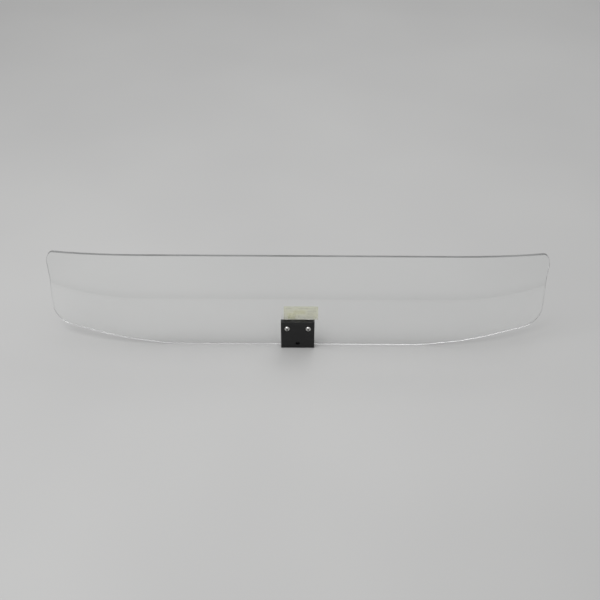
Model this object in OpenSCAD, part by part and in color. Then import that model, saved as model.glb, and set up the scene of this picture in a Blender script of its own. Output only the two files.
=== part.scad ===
// Clear thermoformed hood protector on a centre clamp bracket.
// The shield stands on its lower edge, clamped between a front block and a rear angle by two
// button-head screws. X runs across the hood, Y towards the windscreen, Z up.
// The origin is on the table plane, midway between the two fixing holes in the angle's foot.

/* [Shield] */
// Thickness of the clear sheet
sheet_t = 5; // [3:0.5:8]
// Height of the shield at its middle
shield_h = 240; // [215:5:300]
// Length of the straight middle stretch, seen from above
straight_l = 770; // [600:10:1000]
// Radius of the front face where the ends wrap back, seen from above
wrap_r = 620; // [450:10:1200]
// Height of the upright band at the bottom
upright_h = 112; // [100:1:130]
// Radius of the front face in the bend above the upright band
bend_r = 105; // [60:5:140]
// Lean of the upper band, from upright
lean = 33; // [15:1:40]

/* [Shield outline] */
// Length of the level lower edge, to where the ramps' lines meet it
level_l = 650; // [400:10:800]
// Distance from the centre line to the top of each ramp
ramp_x = 550; // [480:5:580]
// Height of the top of each ramp
ramp_h = 32; // [10:1:50]
// Distance from the centre line to each lower corner
lower_x = 640; // [625:1:660]
// Height of each lower corner, before rounding
lower_h = 34; // [30:1:55]
// Radius of each lower corner
lower_r = 45; // [15:1:50]
// Distance from the centre line to each waist
waist_x = 633; // [615:1:645]
// Depth of each waist below the shield's top
waist_drop = 82; // [70:1:110]
// Distance from the centre line to the tip of each ear
ear_x = 650; // [640:1:670]
// Depth of the tip of each ear below the shield's top, before rounding
ear_drop = 24; // [15:1:35]
// Radius of each ear
ear_r = 22; // [8:1:26]
// Distance from the centre line to where the lines of the upper edge meet
crown_x = 500; // [450:5:520]
// Radius that blends the lines of the upper edge
crown_r = 1450; // [500:50:1500]
// Radius that blends the waist
waist_r = 100; // [40:5:150]
// Radius that blends the ends of the ramps
ramp_r = 300; // [100:10:400]

/* [Clamp block] */
// Width of the block
block_w = 86; // [76:1:120]
// Height of the block
block_h = 88; // [80:1:98]
// Thickness of the block
block_t = 12; // [8:0.5:20]
// Chamfer round the block's front face
block_chamfer = 1.2; // [0.5:0.1:3]

/* [Clamp pads] */
// Thickness of each rubber pad
pad_t = 2; // [1:0.5:4]
// Distance of the pads' edges inside the block's edges
pad_inset = 2; // [0.5:0.5:5]

/* [Rear angle] */
// Width of the angle
angle_w = 80; // [70:1:110]
// Height of the angle's upright leaf
leaf_h = 78; // [76:1:82]
// Reach of the foot behind the leaf's rear face
foot_l = 76; // [64:1:85]
// Thickness of the folded steel
angle_t = 4; // [2:0.5:6]
// Inside radius of the fold
fold_r = 4; // [2:0.5:6]
// Corner radius of the leaf and the foot
angle_corner = 6; // [2:0.5:10]
// Distance from the leaf's rear face to the foot's holes
foot_hole_back = 46; // [36:1:50]
// Distance between the foot's holes
foot_hole_pitch = 50; // [30:1:54]
// Diameter of the foot's holes
foot_hole_d = 9; // [6:0.5:11]

/* [Centre hole] */
// Diameter of the fixing hole through the block and the leaf
fixing_d = 11; // [6:0.5:14]
// Height of the fixing hole
fixing_h = 16; // [14:0.5:20]
// Clearance round the fixing hole in the pads and the sheet
fixing_clear = 3; // [1:0.5:5]

/* [Clamp screws] */
// Distance between the screws
screw_pitch = 54; // [44:1:58]
// Height of the screws
screw_h = 66; // [60:1:67]
// Thread diameter
screw_d = 8; // [6:1:8]
// Length of the screws' ends behind the nuts
screw_tail = 1.6; // [0.5:0.1:6]
// Chamfer on the screws' ends
screw_tip = 1; // [0.5:0.1:1.5]
// Diameter of the domed head
head_d = 14; // [12:0.5:16]
// Height of the domed head
head_h = 4.4; // [3:0.1:6]
// Width across the flats of the hexagon socket
socket_w = 5; // [3:0.5:6]
// Depth of the socket
socket_depth = 2.6; // [1.5:0.1:2.8]
// Clearance on the diameter of the screw holes
screw_clear = 0.6; // [0.2:0.1:1.5]
// Extra clearance on the diameter of the holes in the sheet
sheet_clear = 1.4; // [0:0.1:3]
// Width across the flats of the nuts
nut_w = 13; // [11:0.5:15]
// Height of the nuts
nut_h = 6.8; // [4:0.1:8]
// Outer diameter of the washers
washer_d = 16; // [14:0.5:20]
// Thickness of the washers
washer_t = 1.6; // [1:0.1:3]

/* [Label film] */
// Width of the clear label film
film_w = 87; // [60:1:100]
// Height of the film, above the block
film_h = 38; // [20:1:45]
// Thickness of the film
film_t = 0.3; // [0.2:0.1:0.5]
// Sideways offset of the film
film_x = 8; // [-20:1:20]
// Depth of the film's lower edge behind the block's top
film_tuck = 4; // [0:1:10]

/* [Hidden] */
ARC_STEP = 6;    // degrees between the points of a rounded corner
ROUND = 64;      // facets that stand for a true circle
WRAP_SPARE = 2;  // degrees that the sheet turns past the outline that trims it
CUT = 1;         // how far a cut runs past the face it starts or ends at

// Faces of the clamped stack along Y, from the rear
leaf_rear = -foot_hole_back;
leaf_front = leaf_rear - angle_t;
sheet_rear = leaf_front - pad_t;
sheet_front = sheet_rear - sheet_t;
block_rear = sheet_front - pad_t;
block_front = block_rear - block_t;
// Height where the bend ends, and how far back the sheet's rear face is at the shield's top
bend_end_h = upright_h + bend_r * sin(lean);
top_back = bend_r * (1 - cos(lean)) + (shield_h - bend_end_h) * tan(lean) + sheet_t / cos(lean);
// Turn of each wrapped end
wrap_turn = asin((max(ear_x, lower_x) - straight_l / 2) / (wrap_r - top_back)) + WRAP_SPARE;
// Length of the prisms along Y that trim and pierce the pieces, past both faces of each
prism_l = 2 * wrap_r;
notch_r = fixing_d / 2 + fixing_clear;
screw_x = screw_pitch / 2;
screw_l = leaf_rear + washer_t + nut_h + screw_tail - block_front;

// Shield

// Unit vector from point a to point b
function toward(a, b) = (b - a) / norm(b - a);

// Points of the arc that rounds the corner at b, between a and c, with radius r
function rounded(a, b, c, r) =
    let (u = toward(b, a), v = toward(b, c),
         half = acos(u * v) / 2,
         centre = b + r / sin(half) * toward([0, 0], u + v),
         first = b + u * r / tan(half) - centre,
         turn = cross(-u, v) > 0 ? 180 - 2 * half : 2 * half - 180,
         steps = max(2, ceil(abs(turn) / ARC_STEP)))
    [for (i = [0:steps])
        let (t = turn * i / steps)
        centre + [first.x * cos(t) - first.y * sin(t), first.x * sin(t) + first.y * cos(t)]];

// A closed outline through corners [x, y, radius]
function outline(corners) =
    let (n = len(corners), at = [for (k = corners) [k.x, k.y]])
    [for (i = [0:n - 1])
        each corners[i].z > 0
            ? rounded(at[(i + n - 1) % n], at[i], at[(i + 1) % n], corners[i].z)
            : [at[i]]];

right_corners = [
    [level_l / 2, 0, ramp_r],
    [ramp_x, ramp_h, ramp_r],
    [lower_x, lower_h, lower_r],
    [waist_x, shield_h - waist_drop, waist_r],
    [ear_x, shield_h - ear_drop, ear_r],
    [crown_x, shield_h, crown_r]];
left_corners = [for (i = [len(right_corners) - 1:-1:0])
    [-right_corners[i].x, right_corners[i].y, right_corners[i].z]];

// Layer of the shield's section from depth a to depth b behind its front face: X is the depth
module section(a, b) {
    translate([a, 0])
        square([b - a, upright_h]);
    translate([bend_r, upright_h]) {
        intersection() {
            difference() {
                circle(r = bend_r - a, $fn = ROUND);
                circle(r = bend_r - b, $fn = ROUND);
            }
            polygon([[0, 0], [-2 * bend_r, 0], [-2 * bend_r, 2 * bend_r * tan(lean)]]);
        }
        rotate(-lean)
            translate([a - bend_r, 0])
                square([b - a, shield_h]);
    }
}

// The section swept along the plan of the shield: straight, then round at each end
module swept(a, b) {
    translate([0, sheet_front, 0]) {
        rotate([90, 0, 90])
            linear_extrude(straight_l, center = true)
                section(a, b);
        for (side = [0, 1])
            mirror([side, 0, 0])
                translate([straight_l / 2, wrap_r, 0])
                    rotate(-90)
                        rotate_extrude(angle = wrap_turn, $fn = ROUND)
                            translate([wrap_r, 0])
                                mirror([1, 0])
                                    section(a, b);
    }
}

// A prism along Y, its outline seen from the front
module prism_y() {
    rotate([90, 0, 0])
        linear_extrude(prism_l, center = true)
            children();
}

// A hole along Y, at x and height z
module hole_y(x, z, d) {
    translate([x, 0, z])
        rotate([90, 0, 0])
            cylinder(d = d, h = prism_l, center = true, $fn = ROUND);
}

// Clearance for the fixing bolt, open at the lower edge
module fixing_notch() {
    hole_y(0, fixing_h, 2 * notch_r);
    prism_y()
        translate([-notch_r, -fixing_h])
            square([2 * notch_r, 2 * fixing_h]);
}

module screw_holes(d) {
    for (side = [-1, 1])
        hole_y(side * screw_x, screw_h, d);
}

module shield() {
    color([0.9, 0.95, 0.95, 0.35])
        difference() {
            intersection() {
                swept(0, sheet_t);
                prism_y()
                    polygon(outline(concat(right_corners, left_corners)));
            }
            screw_holes(screw_d + screw_clear + sheet_clear);
            fixing_notch();
        }
}

// Clamp block, pads and angle

// A rectangle, centred in X, from y up to y + h, with its four corners chamfered or rounded
module plate_outline(w, y, h, r) {
    polygon(outline([
        [-w / 2, y, r], [w / 2, y, r], [w / 2, y + h, r], [-w / 2, y + h, r]]));
}

// A block outline with a chamfer at both ends of its front edge: X is width, Y is depth
module chamfered_front(w, t, c) {
    polygon([
        [-w / 2 + c, 0], [w / 2 - c, 0], [w / 2, c],
        [w / 2, t], [-w / 2, t], [-w / 2, c]]);
}

module clamp_block() {
    color([0.1, 0.1, 0.1])
        difference() {
            intersection() {
                translate([0, block_front, 0])
                    linear_extrude(block_h)
                        chamfered_front(block_w, block_t, block_chamfer);
                translate([0, block_front, block_h / 2])
                    rotate([0, 90, 0])
                        linear_extrude(block_w, center = true)
                            chamfered_front(block_h, block_t, block_chamfer);
            }
            screw_holes(screw_d + screw_clear);
            hole_y(0, fixing_h, fixing_d);
        }
}

// A rubber pad from y to y + pad_t, inset from a plate that is w wide and h tall
module pad(y, w, h) {
    color([0.16, 0.16, 0.16])
        difference() {
            translate([pad_inset - w / 2, y, pad_inset])
                cube([w - 2 * pad_inset, pad_t, h - 2 * pad_inset]);
            screw_holes(screw_d + screw_clear);
            fixing_notch();
        }
}

module front_pad() pad(block_rear, block_w, block_h);

module rear_pad() pad(sheet_rear, angle_w, leaf_h);

// The angle's folded section: X runs back from the leaf's front face, Y up
module fold_section() {
    outer_r = fold_r + angle_t;
    translate([0, outer_r])
        square([angle_t, leaf_h - outer_r]);
    translate([outer_r, 0])
        square([angle_t + foot_l - outer_r, angle_t]);
    translate([outer_r, outer_r])
        intersection() {
            difference() {
                circle(r = outer_r, $fn = ROUND);
                circle(r = fold_r, $fn = ROUND);
            }
            translate([-2 * outer_r, -2 * outer_r])
                square(2 * outer_r);
        }
}

module rear_angle() {
    color([0.12, 0.12, 0.13])
        difference() {
            intersection() {
                translate([0, leaf_front, 0])
                    rotate([90, 0, 90])
                        linear_extrude(angle_w, center = true)
                            fold_section();
                prism_y()
                    plate_outline(angle_w, -leaf_h, 2 * leaf_h, angle_corner);
                linear_extrude(leaf_h)
                    plate_outline(angle_w, leaf_rear - foot_l, 2 * foot_l, angle_corner);
            }
            screw_holes(screw_d + screw_clear);
            hole_y(0, fixing_h, fixing_d);
            for (side = [-1, 1])
                translate([side * foot_hole_pitch / 2, 0, angle_t / 2])
                    cylinder(d = foot_hole_d, h = 2 * angle_t, center = true, $fn = ROUND);
        }
}

// Fasteners

// Places a fastener that is modelled along +Z, on the screw's axis, pointing to the rear
module on_screw(side, y) {
    translate([side * screw_x, y, screw_h])
        rotate([-90, 0, 0])
            children();
}

// A button-head screw: the head stands below Z = 0 and the shank above it
module button_screw() {
    dome_r = (head_d * head_d / 4 + head_h * head_h) / (2 * head_h);
    color([0.8, 0.8, 0.8]) {
        difference() {
            union() {
                intersection() {
                    translate([0, 0, dome_r - head_h])
                        sphere(r = dome_r, $fn = ROUND);
                    translate([0, 0, -head_h])
                        cylinder(d = head_d, h = head_h, $fn = ROUND);
                }
                cylinder(d = screw_d, h = screw_l - screw_tip, $fn = ROUND);
                translate([0, 0, screw_l - screw_tip])
                    cylinder(d1 = screw_d, d2 = screw_d - 2 * screw_tip, h = screw_tip,
                             $fn = ROUND);
            }
            translate([0, 0, -head_h - CUT])
                cylinder(d = socket_w / cos(30), h = socket_depth + CUT, $fn = 6);
        }
    }
}

module nut() {
    flat_r = nut_w / 2;
    corner_r = flat_r / cos(30);
    color([0.75, 0.75, 0.75])
        difference() {
            intersection() {
                cylinder(r = corner_r, h = nut_h, $fn = 6);
                rotate_extrude($fn = ROUND)
                    polygon([
                        [0, 0], [flat_r, 0], [corner_r, (corner_r - flat_r) / 2],
                        [corner_r, nut_h - (corner_r - flat_r) / 2], [flat_r, nut_h],
                        [0, nut_h]]);
            }
            translate([0, 0, -CUT])
                cylinder(d = screw_d, h = nut_h + 2 * CUT, $fn = ROUND);
        }
}

module washer() {
    color([0.78, 0.78, 0.78])
        difference() {
            cylinder(d = washer_d, h = washer_t, $fn = ROUND);
            translate([0, 0, -CUT])
                cylinder(d = screw_d + screw_clear, h = washer_t + 2 * CUT, $fn = ROUND);
        }
}

module screw_at(side) on_screw(side, block_front) button_screw();

module washer_at(side) on_screw(side, leaf_rear) washer();

module nut_at(side) on_screw(side, leaf_rear + washer_t) nut();

// Label film

module label_film() {
    color([0.9, 0.92, 0.6, 0.6])
        intersection() {
            swept(sheet_t, sheet_t + film_t);
            prism_y()
                translate([film_x - film_w / 2, block_h - film_tuck])
                    square([film_w, film_tuck + film_h]);
        }
}

shield();
clamp_block();
front_pad();
rear_pad();
rear_angle();
screw_at(-1);  // screw_left
screw_at(1);  // screw_right
washer_at(-1);  // washer_left
washer_at(1);  // washer_right
nut_at(-1);  // nut_left
nut_at(1);  // nut_right
label_film();
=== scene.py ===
"""Looks for the clear hood protector: a clear formed sheet in a black centre clamp.

Lengths are in metres and in the CAD model's frame: X across, Y back to the windscreen, Z up.
"""
import math

import bpy
from mathutils import Matrix, Vector
from mathutils.geometry import delaunay_2d_cdt


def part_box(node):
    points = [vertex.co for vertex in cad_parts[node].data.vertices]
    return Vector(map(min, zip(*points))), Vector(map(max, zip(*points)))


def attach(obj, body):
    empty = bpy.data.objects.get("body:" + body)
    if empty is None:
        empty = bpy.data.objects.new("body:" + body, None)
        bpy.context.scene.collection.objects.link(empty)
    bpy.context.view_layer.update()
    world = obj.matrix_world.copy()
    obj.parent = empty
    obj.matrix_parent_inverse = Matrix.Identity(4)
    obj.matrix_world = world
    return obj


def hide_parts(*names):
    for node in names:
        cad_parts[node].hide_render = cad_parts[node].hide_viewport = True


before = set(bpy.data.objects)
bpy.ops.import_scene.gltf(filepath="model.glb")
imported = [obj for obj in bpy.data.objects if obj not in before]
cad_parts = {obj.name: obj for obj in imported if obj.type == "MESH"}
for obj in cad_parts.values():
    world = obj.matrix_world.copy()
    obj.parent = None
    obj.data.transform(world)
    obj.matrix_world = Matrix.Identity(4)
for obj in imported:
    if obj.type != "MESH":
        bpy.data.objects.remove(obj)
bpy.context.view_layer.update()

# Sheet: section, plan and outline, as the CAD shield has them
SHEET_T = 0.005
STRAIGHT_L = 0.770
WRAP_R = 0.620
UPRIGHT_H = 0.112
BEND_R = 0.105
LEAN = math.radians(33)
SHEET_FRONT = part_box("shield")[0].y
SHIELD_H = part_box("shield")[1].z
RIGHT_CORNERS = [  # distance from the centre line, height, rounding radius
    (0.325, 0.0, 0.300),
    (0.550, 0.032, 0.300),
    (0.640, 0.034, 0.045),
    (0.633, SHIELD_H - 0.082, 0.100),
    (0.650, SHIELD_H - 0.024, 0.022),
    (0.500, SHIELD_H, 1.450),
]
SHEET_HOLE_R = 0.005
NOTCH_R = 0.0085
NOTCH_H = 0.016
EDGE_ROUND = 0.0005
COLUMN_STEP = 0.008
RIM_CLEAR = 0.0035
ARC_STEP = math.radians(2)

# Clamp screws and nuts
SCREW_X = 0.027
SCREW_H = 0.066
SCREW_D = 0.008
SCREW_TIP = 0.001
HEAD_D = 0.014
HEAD_H = 0.0044
SOCKET_W = 0.005
SOCKET_DEPTH = 0.0026
THREAD_PITCH = 0.00125
THREAD_L = 0.014
NUT_W = 0.013
BLOCK_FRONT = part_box("clamp_block")[0].y
NUT_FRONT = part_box("nut_left")[0].y
NUT_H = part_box("nut_left")[1].y - NUT_FRONT
SCREW_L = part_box("screw_left")[1].y - BLOCK_FRONT


# Materials

def new_material(name, **values):
    """A material whose Principled shader has these plain values."""
    material = bpy.data.materials.new(name)
    material.use_nodes = True
    shader = material.node_tree.nodes["Principled BSDF"]
    for socket, value in values.items():
        shader.inputs[socket.replace("_", " ")].default_value = value
    return material, shader


def add_node(material, kind, inputs, **settings):
    """A node with its settings, and its inputs by name or number linked or set."""
    node = material.node_tree.nodes.new(kind)
    for name, value in settings.items():
        setattr(node, name, value)
    for socket, value in inputs.items():
        if isinstance(value, bpy.types.NodeSocket):
            material.node_tree.links.new(value, node.inputs[socket])
        else:
            node.inputs[socket].default_value = value
    return node


def link(material, output, socket):
    material.node_tree.links.new(output, socket)


def noise(material, scale, detail=3.0, stretch=(1, 1, 1)):
    """Smooth noise with scale patches to the metre, as a value near 0.5."""
    place = add_node(material, "ShaderNodeTexCoord", {}).outputs["Object"]
    stretched = add_node(material, "ShaderNodeMapping", {"Vector": place, "Scale": stretch})
    grain = add_node(material, "ShaderNodeTexNoise", {
        "Vector": stretched.outputs["Vector"], "Scale": scale, "Detail": detail})
    return grain.outputs["Fac"]


def remap(material, value, low, high, start=0.3, end=0.7):
    """The value taken from start..end to low..high, and held there."""
    made = add_node(material, "ShaderNodeMapRange", {
        "Value": value, "From Min": start, "From Max": end, "To Min": low, "To Max": high})
    return made.outputs["Result"]


def blend_colours(material, factor, first, second):
    """A colour between first and second; either may be linked."""
    made = add_node(material, "ShaderNodeMix", {}, data_type="RGBA")
    for socket, value in ((made.inputs["Factor"], factor), (made.inputs[6], first),
                          (made.inputs[7], second)):
        if isinstance(value, bpy.types.NodeSocket):
            link(material, value, socket)
        else:
            socket.default_value = value
    return made.outputs[2]


def bump(material, shader, height, strength, distance):
    node = add_node(material, "ShaderNodeBump", {
        "Height": height, "Strength": strength, "Distance": distance})
    link(material, node.outputs["Normal"], shader.inputs["Normal"])


def math_node(material, operation, *values):
    node = add_node(material, "ShaderNodeMath", dict(enumerate(values)), operation=operation)
    return node.outputs["Value"]


def let_lamps_through(material, shader, tint):
    """Rays from lamps go straight through the glass, weakened as its faces mirror them."""
    path = add_node(material, "ShaderNodeLightPath", {}).outputs
    facing = add_node(material, "ShaderNodeLayerWeight", {"Blend": 0.5}).outputs["Facing"]
    grazing = math_node(material, "POWER", facing, 5.0)
    mirrored = remap(material, grazing, 0.04, 1.0, 0.0, 1.0)
    passed = blend_colours(material, mirrored, (*tint, 1), (0, 0, 0, 1))
    clear = add_node(material, "ShaderNodeBsdfTransparent", {"Color": passed})
    factor = math_node(material, "MAXIMUM", path["Is Shadow Ray"], path["Is Diffuse Ray"])
    mixed = add_node(material, "ShaderNodeMixShader", {
        0: factor, 1: shader.outputs["BSDF"], 2: clear.outputs["BSDF"]})
    surface = material.node_tree.nodes["Material Output"].inputs["Surface"]
    link(material, mixed.outputs["Shader"], surface)


ACRYLIC_IOR = 1.49


def acrylic_face():
    material, shader = new_material(
        "acrylic_face", Base_Color=(0.985, 0.99, 0.988, 1), Transmission_Weight=1.0,
        IOR=ACRYLIC_IOR)
    smears = noise(material, 22, 4, (1, 1, 2))
    link(material, remap(material, smears, 0.0, 0.035, 0.45, 0.75), shader.inputs["Roughness"])
    bump(material, shader, noise(material, 9, 1, (0.6, 1, 1)), 0.12, 0.004)
    let_lamps_through(material, shader, (0.99, 0.99, 0.99))
    return material


def acrylic_edge_painted_shade():
    material, shader = new_material(
        "acrylic_edge_painted_shade", Transmission_Weight=1.0, IOR=ACRYLIC_IOR, Specular_IOR_Level=0.2)
    marks = noise(material, 420, 2, (1, 0.12, 1))
    # Painted shade: the dark grey base colour, 0.12 to 0.34, darkens the edges into dark lines that stand
    # for the dark surroundings they reflect.
    tone = blend_colours(material, remap(material, noise(material, 6), 0, 1),
                         (0.12, 0.125, 0.125, 1), (0.34, 0.35, 0.35, 1))
    link(material, tone, shader.inputs["Base Color"])
    link(material, remap(material, marks, 0.3, 0.45), shader.inputs["Roughness"])
    bump(material, shader, marks, 0.25, 0.0004)
    let_lamps_through(material, shader, (0.85, 0.85, 0.85))
    return material


def black_plastic():
    material, shader = new_material("black_plastic", IOR=1.4)
    grain = noise(material, 2600, 2)
    tone = blend_colours(material, remap(material, noise(material, 60, 5), 0, 1),
                         (0.0075, 0.0075, 0.008, 1), (0.011, 0.011, 0.0115, 1))
    link(material, tone, shader.inputs["Base Color"])
    link(material, remap(material, noise(material, 90, 4), 0.36, 0.5), shader.inputs["Roughness"])
    bump(material, shader, grain, 0.25, 0.00015)
    return material


def black_steel():
    material, shader = new_material("black_steel", IOR=1.5)
    orange_peel = noise(material, 1100, 2)
    tone = blend_colours(material, remap(material, noise(material, 45, 4), 0, 1),
                         (0.010, 0.010, 0.011, 1), (0.016, 0.016, 0.017, 1))
    link(material, tone, shader.inputs["Base Color"])
    link(material, remap(material, orange_peel, 0.34, 0.5), shader.inputs["Roughness"])
    bump(material, shader, orange_peel, 0.35, 0.0003)
    return material


def rubber():
    material, shader = new_material("pad_rubber", IOR=1.45)
    tone = blend_colours(material, remap(material, noise(material, 300, 5), 0, 1),
                         (0.014, 0.014, 0.014, 1), (0.026, 0.026, 0.026, 1))
    link(material, tone, shader.inputs["Base Color"])
    link(material, remap(material, noise(material, 700), 0.7, 0.9), shader.inputs["Roughness"])
    bump(material, shader, noise(material, 3000, 2), 0.5, 0.0002)
    return material


def stainless():
    material, shader = new_material("stainless", Metallic=1.0)
    scratches = noise(material, 900, 3, (1, 0.08, 1))
    tone = blend_colours(material, remap(material, noise(material, 400), 0, 1),
                         (0.60, 0.595, 0.58, 1), (0.72, 0.715, 0.70, 1))
    link(material, tone, shader.inputs["Base Color"])
    link(material, remap(material, scratches, 0.2, 0.36), shader.inputs["Roughness"])
    bump(material, shader, scratches, 0.15, 0.0001)
    return material


def socket_painted_shade():
    """Painted shade inside the sockets: steel darkened to stand for the shade in these recesses."""
    material, shader = new_material("socket_painted_shade", Metallic=1.0)
    tone = blend_colours(material, remap(material, noise(material, 800), 0, 1),
                         (0.05, 0.05, 0.05, 1), (0.09, 0.09, 0.085, 1))
    link(material, tone, shader.inputs["Base Color"])
    link(material, remap(material, noise(material, 1500), 0.45, 0.65), shader.inputs["Roughness"])
    return material


def inside_box(material, place, low, high):
    """1 inside a box in X and Z, and 0 outside."""
    split = add_node(material, "ShaderNodeSeparateXYZ", {"Vector": place}).outputs
    tests = []
    for axis, lo, hi in (("X", low[0], high[0]), ("Z", low[1], high[1])):
        tests.append(math_node(material, "GREATER_THAN", split[axis], lo))
        tests.append(math_node(material, "LESS_THAN", split[axis], hi))
    made = tests[0]
    for test in tests[1:]:
        made = math_node(material, "MULTIPLY", made, test)
    return made


def film_plastic():
    """Clear yellow film with plain fields: darker bars over a stronger patch."""
    material, shader = new_material("label_film", IOR=1.5, Roughness=0.3)
    place = add_node(material, "ShaderNodeTexCoord", {}).outputs["Object"]
    patches = (((-0.026, 0.084), (-0.004, 0.104)), ((-0.010, 0.102), (0.018, 0.114)))
    bars = [((x, z), (x + width, z + 0.0022)) for x, z, width in (
        (-0.031, 0.1185, 0.018), (0.002, 0.1185, 0.024), (0.030, 0.1185, 0.016),
        (0.024, 0.1100, 0.022), (0.024, 0.1015, 0.016))]
    patch = bar = 0.0
    for low, high in patches:
        patch = math_node(material, "MAXIMUM", patch, inside_box(material, place, low, high))
    for low, high in bars:
        bar = math_node(material, "MAXIMUM", bar, inside_box(material, place, low, high))
    pale = blend_colours(material, patch, (0.85, 0.85, 0.12, 1), (0.90, 0.90, 0.05, 1))
    tone = blend_colours(material, bar, pale, (0.45, 0.46, 0.20, 1))
    link(material, tone, shader.inputs["Base Color"])
    mottle = remap(material, noise(material, 260, 3), 0.8, 1.15)
    strength = math_node(material, "MAXIMUM", math_node(material, "MULTIPLY", patch, 0.2),
                         math_node(material, "MULTIPLY", bar, 0.2))
    strength = math_node(material, "MAXIMUM", strength, 0.14)
    link(material, math_node(material, "MULTIPLY", strength, mottle), shader.inputs["Alpha"])
    bump(material, shader, noise(material, 180, 2), 0.2, 0.0005)
    return material


# Meshes

def add_piece(name, vertices, faces, materials, slots=None):
    """A smooth mesh object; slots gives the number of each face's material."""
    mesh = bpy.data.meshes.new(name)
    mesh.from_pydata(vertices, [], faces)
    for material in materials:
        mesh.materials.append(material)
    if slots:
        mesh.polygons.foreach_set("material_index", slots)
    mesh.shade_smooth()
    piece = bpy.data.objects.new(name, mesh)
    bpy.context.scene.collection.objects.link(piece)
    return piece


def stands_for(piece, slot, *nodes):
    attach(piece, "root")
    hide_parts(*nodes)


# Sheet

def depth_at(z, inside):
    """How far the surface lies behind the front plane at height z, and its slope there.

    inside is the surface's distance behind the sheet's front face.
    """
    radius = BEND_R - inside
    bend_top = UPRIGHT_H + radius * math.sin(LEAN)
    if z <= UPRIGHT_H:
        return inside, 0.0
    if z <= bend_top:
        rise = z - UPRIGHT_H
        run = math.sqrt(radius * radius - rise * rise)
        return BEND_R - run, rise / run
    back = BEND_R - radius * math.cos(LEAN)
    return back + (z - bend_top) * math.tan(LEAN), math.tan(LEAN)


def on_sheet(x, z, inside):
    """The point of the surface at x and height z, and its normal towards the front."""
    depth, slope = depth_at(z, inside)
    over = max(0.0, abs(x) - STRAIGHT_L / 2)
    radius = WRAP_R - depth
    reach = math.sqrt(radius * radius - over * over)
    point = Vector((x, SHEET_FRONT + WRAP_R - reach, z))
    normal = Vector((math.copysign(over, x), -reach, radius * slope)).normalized()
    return point, normal


def rounded_corner(before, corner, after, radius):
    """Points of the arc that rounds a corner of the outline."""
    u = (before - corner).normalized()
    v = (after - corner).normalized()
    half = u.angle(v) / 2
    centre = corner + (u + v).normalized() * radius / math.sin(half)
    first = corner + u * radius / math.tan(half) - centre
    turn = math.copysign(math.pi - 2 * half, v.x * u.y - v.y * u.x)
    steps = max(4, math.ceil(abs(turn) / ARC_STEP))
    return [centre + turned_by(first, turn * i / steps) for i in range(steps + 1)]


def turned_by(p, angle):
    return Vector((p.x * math.cos(angle) - p.y * math.sin(angle),
                   p.x * math.sin(angle) + p.y * math.cos(angle)))


def circle(x, z, radius, steps=48):
    return [Vector((x, z)) + turned_by(Vector((radius, 0)), 2 * math.pi * i / steps)
            for i in range(steps)]


def sheet_outline():
    """The sheet's outline in X and Z, anticlockwise from the right side of the notch."""
    right = [(Vector((x, z)), radius) for x, z, radius in RIGHT_CORNERS]
    corners = right + [(Vector((-p.x, p.y)), radius) for p, radius in reversed(right)]
    points = [Vector((NOTCH_R, 0.0))]
    for i, (corner, radius) in enumerate(corners):
        after = corners[(i + 1) % len(corners)][0]
        points += rounded_corner(corners[i - 1][0], corner, after, radius)
    points.append(Vector((-NOTCH_R, 0.0)))
    steps = 24
    for i in range(steps + 1):
        points.append(Vector((0, NOTCH_H)) + turned_by(Vector((-NOTCH_R, 0)), -math.pi * i / steps))
    return points


def split_long(points, step):
    """The closed outline with no stretch longer than step."""
    made = []
    for i, p in enumerate(points):
        q = points[(i + 1) % len(points)]
        parts = max(1, math.ceil((q - p).length / step))
        made += [p.lerp(q, k / parts) for k in range(parts)]
    return made


def outward(points):
    """The outward direction at each point of an anticlockwise outline, mitred at corners."""
    made = []
    for i, p in enumerate(points):
        a = (p - points[i - 1]).normalized()
        b = (points[(i + 1) % len(points)] - p).normalized()
        mean = Vector((a.y + b.y, -a.x - b.x)).normalized()
        made.append(mean / max(0.5, mean.dot(Vector((a.y, -a.x)))))
    return made


def half_width(rim, z):
    """The largest X at which the rim crosses height z, or 0."""
    widest = 0.0
    for i, b in enumerate(rim):
        a = rim[i - 1]
        if (a.y > z) != (b.y > z):
            widest = max(widest, a.x + (z - a.y) / (b.y - a.y) * (b.x - a.x))
    return widest


def inner_points(rim):
    """Points inside the rim, in rows that are close together in the bend."""
    bend_top = UPRIGHT_H + BEND_R * math.sin(LEAN)
    rows = [UPRIGHT_H * i / 10 for i in range(1, 10)]
    rows += [UPRIGHT_H + (bend_top - UPRIGHT_H) * i / 24 for i in range(25)]
    rows += [bend_top + (SHIELD_H - bend_top) * i / 8 for i in range(1, 8)]
    points = []
    for z in rows:
        reach = min(half_width(rim, z + up) for up in (-RIM_CLEAR, 0, RIM_CLEAR)) - RIM_CLEAR
        count = int(reach / COLUMN_STEP)
        points += [Vector((i * COLUMN_STEP, z)) for i in range(-count, count + 1)]
    notch_reach = NOTCH_R + RIM_CLEAR
    hole_reach = SHEET_HOLE_R + RIM_CLEAR
    return [p for p in points
            if not (abs(p.x) < notch_reach and p.y < NOTCH_H)
            and (p - Vector((0, NOTCH_H))).length > notch_reach
            and (Vector((abs(p.x), p.y)) - Vector((SCREW_X, SCREW_H))).length > hole_reach]


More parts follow.
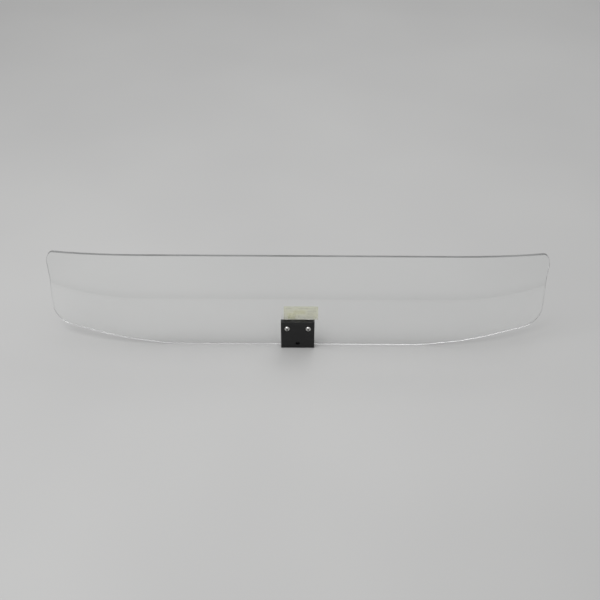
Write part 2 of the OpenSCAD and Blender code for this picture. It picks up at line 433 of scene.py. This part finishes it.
def sheet_plan(rim, holes):
    """Triangles between the rim and the holes, in X and Z, and the loops' places in them."""
    loops = [rim, *holes]
    edges = []
    start = 0
    for loop in loops:
        edges += [(start + i, start + (i + 1) % len(loop)) for i in range(len(loop))]
        start += len(loop)
    points, _, triangles, source, _, _ = delaunay_2d_cdt(
        sum(loops, []) + inner_points(rim), edges, [], 1, 1e-7)
    in_hole = SHEET_HOLE_R * 0.98
    kept = []
    for corners in triangles:
        centre = sum((points[i] for i in corners), Vector((0, 0))) / 3
        if (Vector((abs(centre.x), centre.y)) - Vector((SCREW_X, SCREW_H))).length > in_hole:
            kept.append(corners)
    place = {origins[0]: i for i, origins in enumerate(source) if origins}
    order = iter(range(start))
    return points, kept, [[place[next(order)] for _ in loop] for loop in loops]


def curve_point(start, bend, end, share):
    return start.lerp(bend, share).lerp(bend.lerp(end, share), share)


def edge_section(corner, way, front_start, rear_start):
    """Points and normals across the edge, from the front face's rim to the rear face's."""
    front, front_normal = on_sheet(corner.x, corner.y, 0)
    rear, rear_normal = on_sheet(corner.x, corner.y, SHEET_T)
    wall = Vector((way.x, 0, way.y)).normalized()
    back = Vector((0, EDGE_ROUND, 0))
    points = [curve_point(front_start, front, front + back, s) for s in (1 / 3, 2 / 3, 1)]
    points += [curve_point(rear - back, rear, rear_start, s) for s in (0, 1 / 3, 2 / 3)]
    normals = [front_normal.lerp(wall, s) for s in (0, 1 / 3, 2 / 3, 1)]
    normals += [wall.lerp(-rear_normal, s) for s in (0, 1 / 3, 2 / 3, 1)]
    return points, [n.normalized() for n in normals]


def formed_sheet():
    """The clear sheet: two faces a sheet's thickness apart, joined by a softly rounded edge."""
    outline = split_long(sheet_outline(), COLUMN_STEP)
    ways = outward(outline)
    rim = [p - way * EDGE_ROUND for p, way in zip(outline, ways)]
    holes = [circle(side * SCREW_X, SCREW_H, SHEET_HOLE_R) for side in (-1, 1)]
    plan, triangles, (ring, *hole_rings) = sheet_plan(rim, holes)
    count = len(plan)
    front = [on_sheet(p.x, p.y, 0) for p in plan]
    rear = [on_sheet(p.x, p.y, SHEET_T) for p in plan]
    vertices = [p for p, _ in front + rear]
    faces = [tuple(t) for t in triangles] + [tuple(i + count for i in reversed(t)) for t in triangles]
    skin_faces = len(faces)
    normals = [n for _, n in front] + [-n for _, n in rear]
    corner_normals = [normals[i] for face in faces for i in face]

    bands = []
    for corner, way, inner in zip(outline, ways, ring):
        points, across = edge_section(corner, way, vertices[inner], vertices[inner + count])
        first = len(vertices)
        vertices += points
        bands.append(([inner, *range(first, first + len(points)), inner + count], across))
    for i, (here, here_normals) in enumerate(bands):
        there, there_normals = bands[(i + 1) % len(bands)]
        for k in range(len(here) - 1):
            faces.append((here[k], here[k + 1], there[k + 1], there[k]))
            corner_normals += [here_normals[k], here_normals[k + 1],
                               there_normals[k + 1], there_normals[k]]
    for (x, loop) in zip((-SCREW_X, SCREW_X), hole_rings):
        for i, here in enumerate(loop):
            there = loop[(i + 1) % len(loop)]
            face = (there, there + count, here + count, here)
            faces.append(face)
            corner_normals += [(Vector((x, vertices[v].y, SCREW_H)) - vertices[v]).normalized()
                               for v in face]
    slots = [0] * skin_faces + [1] * (len(faces) - skin_faces)
    piece = add_piece("clear_sheet", vertices, faces, [acrylic_face(), acrylic_edge_painted_shade()], slots)
    piece.data.normals_split_custom_set(corner_normals)
    stands_for(piece, "clear_acrylic", "shield")


# Screws and nuts

def hexagon(angle, width):
    """Distance from the middle of a hexagon to its side at this angle."""
    sixth = math.pi / 3
    return width / 2 / math.cos((angle % sixth) - sixth / 2)


def turned_piece(name, profile, materials, side, y, steps=96, ring=False, inner_rows=0):
    """A piece turned about a screw's axis: profile(angle) gives its radii and heights.

    The heights run to the rear from y. A ring's profile closes on itself. The first
    inner_rows stretches of the profile take the second material.
    """
    to_rear = Matrix.Translation((side * SCREW_X, y, SCREW_H)) @ Matrix.Rotation(-math.pi / 2, 4, "X")
    rows = []
    vertices = []
    for i in range(steps):
        angle = 2 * math.pi * i / steps
        rows.append([])
        for radius, height in profile(angle):
            if radius == 0 and i > 0:
                rows[i].append(rows[0][len(rows[i])])
                continue
            rows[i].append(len(vertices))
            vertices.append(to_rear @ Vector((radius * math.cos(angle), radius * math.sin(angle), height)))
    faces = []
    slots = []
    for i, here in enumerate(rows):
        there = rows[(i + 1) % steps]
        for k in range(0 if ring else 1, len(here)):
            corners = (here[k - 1], here[k], there[k], there[k - 1])
            faces.append(tuple(dict.fromkeys(corners)))
            slots.append(1 if k <= inner_rows and not ring else 0)
    piece = add_piece(name, vertices, faces, materials, slots)
    piece.data.set_sharp_from_angle(angle=math.radians(32))
    return piece


def thread_radius(height, angle):
    """The shank's radius at this height: a helix of V grooves."""
    groove = 0.61 * THREAD_PITCH
    phase = (height / THREAD_PITCH - angle / (2 * math.pi)) % 1
    return SCREW_D / 2 - groove * max(0.0, min(1.0, 1.25 * abs(2 * phase - 1) - 0.125))


def screw_profile(angle):
    """Button-head screw: socket, dome, shank and thread. The head stands below height 0."""
    dome_r = (HEAD_D * HEAD_D / 4 + HEAD_H * HEAD_H) / (2 * HEAD_H)
    socket = hexagon(angle, SOCKET_W)
    floor = SOCKET_DEPTH - HEAD_H
    chamfer = 0.0003
    rim = HEAD_D / 2

    def dome(radius):
        return dome_r - HEAD_H - math.sqrt(dome_r * dome_r - radius * radius)

    mouth = socket + chamfer
    points = [(0, floor + 0.0007), (socket * 0.92, floor), (socket, floor - chamfer),
              (socket, dome(mouth) + chamfer), (mouth, dome(mouth))]
    dome_steps = 12
    for i in range(1, dome_steps + 1):
        radius = mouth + (rim - 0.0002 - mouth) * i / dome_steps
        points.append((radius, dome(radius)))
    points += [(rim - 0.00005, -0.0001), (rim - 0.0001, 0), (SCREW_D / 2, 0)]
    thread_start = SCREW_L - THREAD_L
    rows = 88
    for i in range(rows + 1):
        height = thread_start + (THREAD_L - 0.0002) * i / rows
        fade_in = min(1.0, i / 8)
        radius = SCREW_D / 2 + fade_in * (thread_radius(height, angle) - SCREW_D / 2)
        tip = SCREW_D / 2 - max(0.0, height - (SCREW_L - SCREW_TIP))
        points.append((min(radius, tip), height))
    return points + [(SCREW_D / 2 - SCREW_TIP, SCREW_L), (0, SCREW_L)]


def nut_profile(angle):
    """Hexagon nut with its corners cut back at both faces."""
    flat = NUT_W / 2
    side = hexagon(angle, NUT_W)
    drop = (side - flat) * math.tan(math.radians(30))
    bore = SCREW_D / 2
    mouth = 0.0005
    return [(bore + mouth, 0), (flat - 0.0002, 0), (side, drop + 0.0001),
            (side, NUT_H - drop - 0.0001), (flat - 0.0002, NUT_H), (bore + mouth, NUT_H),
            (bore, NUT_H - mouth), (bore, mouth)]


def fasteners(metal, socket_shade_metal):
    for side, name in ((-1, "left"), (1, "right")):
        # The socket's inner rows take the painted shade material, a darkened steel that stands for the
        # shade inside the sockets.
        screw = turned_piece("button_screw_" + name, screw_profile, [metal, socket_shade_metal],
                             side, BLOCK_FRONT, inner_rows=3)
        stands_for(screw, "stainless", "screw_" + name)
        nut = turned_piece("hex_nut_" + name, nut_profile, [metal], side, NUT_FRONT, ring=True)
        stands_for(nut, "stainless", "nut_" + name)


# CAD parts that keep their shape

def finish_part(name, material, edge):
    """Gives a CAD part its material, and breaks its sharp edges by this much."""
    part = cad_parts[name]
    for slot in part.material_slots:
        slot.material = material
    if edge:
        weld = part.modifiers.new("weld", "WELD")
        weld.merge_threshold = 0.000002
        soften = part.modifiers.new("soft_edges", "BEVEL")
        soften.width = edge
        soften.segments = 2
        soften.limit_method = "ANGLE"
        soften.angle_limit = math.radians(30)
        soften.harden_normals = True


# Floor, lamps and camera

def stage_floor():
    size = 14.0
    material, shader = new_material("floor_pale", Roughness=0.42, IOR=1.35)
    tone = blend_colours(material, remap(material, noise(material, 1.3, 2), 0, 1),
                         (0.50, 0.50, 0.498, 1), (0.53, 0.53, 0.526, 1))
    link(material, tone, shader.inputs["Base Color"])
    corners = [(-size, -size, 0), (size, -size, 0), (size, size, 0), (-size, size, 0)]
    floor = add_piece("floor", corners, [(0, 1, 2, 3)], [material])
    floor.location.z = FLOOR_Z


FLOOR_Z = -0.0002


def soft_lamp(name, place, target, width, height, strength):
    """A rectangular soft lamp; strength is the brightness of its face."""
    data = bpy.data.lights.new(name, "AREA")
    data.shape = "RECTANGLE"
    data.size = width
    data.size_y = height
    data.energy = strength * math.pi * width * height
    lamp = bpy.data.objects.new(name, data)
    lamp.location = place
    aim = Vector(target) - Vector(place)
    lamp.rotation_euler = aim.to_track_quat("-Z", "Y").to_euler()
    bpy.context.scene.collection.objects.link(lamp)
    return lamp


def sky():
    """A pale room: dim at eye level, brighter above, and plain where the camera sees it."""
    world = bpy.data.worlds.new("pale_room")
    world.use_nodes = True
    bpy.context.scene.world = world
    way = add_node(world, "ShaderNodeTexCoord", {}).outputs["Generated"]
    height = add_node(world, "ShaderNodeSeparateXYZ", {"Vector": way}).outputs["Z"]
    level = remap(world, height, 0.12, 0.75, 0.1, 0.7)
    seen = add_node(world, "ShaderNodeLightPath", {}).outputs["Is Camera Ray"]
    background = world.node_tree.nodes["Background"]
    strength = add_node(world, "ShaderNodeMix", {"Factor": seen, 2: level, 3: 0.56},
                        data_type="FLOAT")
    link(world, strength.outputs[0], background.inputs["Strength"])
    background.inputs["Color"].default_value = (1, 1, 1, 1)


def camera():
    """The photograph's view: 600 pixels to the sensor's width, tilted a little to the right."""
    focal_px = 850
    frame_px = 600
    sensor = 36.0
    roll = math.radians(0.32)
    data = bpy.data.cameras.new("camera")
    data.sensor_width = sensor
    data.lens = sensor * focal_px / frame_px
    view = bpy.data.objects.new("camera", data)
    place = Vector((0.0055, -1.688, 1.521))
    ahead = Vector((0, 0.7658, -0.6431))
    turn = ahead.to_track_quat("-Z", "Y").to_matrix().to_4x4()
    view.matrix_world = Matrix.Translation(place) @ turn @ Matrix.Rotation(roll, 4, "Z")
    bpy.context.scene.collection.objects.link(view)
    bpy.context.scene.camera = view


camera()
formed_sheet()
fasteners(stainless(), socket_painted_shade())
finish_part("clamp_block", black_plastic(), 0.00025)
finish_part("rear_angle", black_steel(), 0.0004)
for pad_name in ("front_pad", "rear_pad"):
    finish_part(pad_name, rubber(), 0.0002)
washer_metal = stainless()
for washer_name in ("washer_left", "washer_right"):
    finish_part(washer_name, washer_metal, 0.00015)
finish_part("label_film", film_plastic(), 0)

stage_floor()
sky()
soft_lamp("key", (-1.1, -0.7, 2.6), (0, 0, 0), 2.2, 1.4, 3.4)
soft_lamp("rear", (0.9, 1.9, 2.2), (0, 0, 0), 1.8, 0.8, 2.1)
bpy.context.scene.view_settings.view_transform = "Standard"
